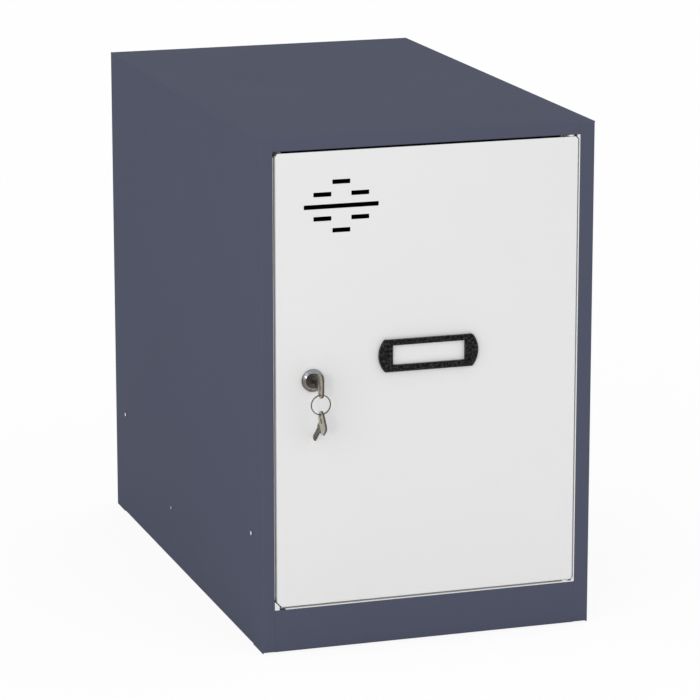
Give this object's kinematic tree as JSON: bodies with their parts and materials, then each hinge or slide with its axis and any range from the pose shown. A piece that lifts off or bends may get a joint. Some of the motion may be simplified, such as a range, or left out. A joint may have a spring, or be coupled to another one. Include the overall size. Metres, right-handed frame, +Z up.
{
  "type": "metal locker",
  "caption": "Small floor-standing steel locker with one hinged door, vent slots, a card holder and a cam lock with its key and a spare on a ring.",
  "frame": {"origin": "on the floor, under the middle of the whole part's bounding box", "axes": "+Z up; +Y from the door to the back, so the door faces -Y; +X to the right of someone facing the door. The front plane of the body is at y -0.231104."},
  "size_m": [0.3016, 0.5378, 0.45],
  "materials": {
    "body_paint": "satin",
    "door_paint": "satin",
    "zinc_steel": "satin",
    "white_nylon": "satin",
    "rubber": "matte",
    "lock_chrome": "polished",
    "lock_plug_metal": "satin",
    "key_nickel": "satin",
    "black_plastic": "matte",
    "white_card": "matte"
  },
  "bodies": {
    "cabinet": {"left_side_panel": "body_paint", "right_side_panel": "body_paint", "top_panel": "body_paint", "back_panel": "body_paint", "floor_panel": "body_paint", "plinth": "body_paint", "sill": "door_paint", "hinge_jamb": "door_paint", "strike_strip": "door_paint", "strike_lining": "door_paint", "head_stop": "body_paint", "corner_plates": "door_paint", "upper_hinge_plate": "zinc_steel", "lower_hinge_plate": "zinc_steel", "upper_hinge_bush": "white_nylon", "lower_hinge_bush": "white_nylon", "door_buffers": "rubber", "side_hole_plugs": "white_nylon", "floor_rivets": "zinc_steel"},
    "door": {"door_panel": "door_paint", "door_top_channel": "door_paint", "door_stiffener": "door_paint", "upper_pivot_bracket": "door_paint", "lower_pivot_bracket": "door_paint", "upper_hinge_pin": "zinc_steel", "lower_hinge_pin": "zinc_steel", "lock_housing": "lock_chrome", "lock_washer": "zinc_steel", "lock_nut": "zinc_steel", "card_holder": "black_plastic", "holder_push_nuts": "zinc_steel"},
    "lock_core": {"lock_plug": "lock_plug_metal", "lock_cam": "zinc_steel", "cam_screw": "zinc_steel"},
    "key": {"key": "key_nickel"},
    "key_ring": {"key_ring": "zinc_steel"},
    "spare_key": {"spare_key": "key_nickel"},
    "name_card": {"name_card": "white_card"}
  },
  "joints": [
    {"name": "door_hinge", "type": "hinge", "parent": "cabinet", "child": "door", "pos_m": [0.129, -0.2274, 0.24], "axis": [0, 0, 1], "range_deg": [0, 110]},
    {"name": "key_turn", "type": "hinge", "parent": "door", "child": "lock_core", "pos_m": [-0.1049, -0.2311, 0.2403], "axis": [0, 1, 0], "range_deg": [0, 90]},
    {"name": "key_pull", "type": "slide", "parent": "lock_core", "child": "key", "axis": [0, -1, 0], "range_m": [0, 0.03]},
    {"name": "ring_swing", "type": "hinge", "parent": "key", "child": "key_ring", "pos_m": [-0.1049, -0.25435, 0.23275], "axis": [1, 0, 0], "range_deg": [-60, 1.5]},
    {"name": "spare_key_swing", "type": "hinge", "parent": "key_ring", "child": "spare_key", "pos_m": [-0.1049, -0.25435, 0.21595], "axis": [1, 0, 0], "range_deg": [-40, 1.5]},
    {"name": "card_slide", "type": "slide", "parent": "door", "child": "name_card", "axis": [0, 0, 1], "range_m": [0, 0.03]}
  ]
}
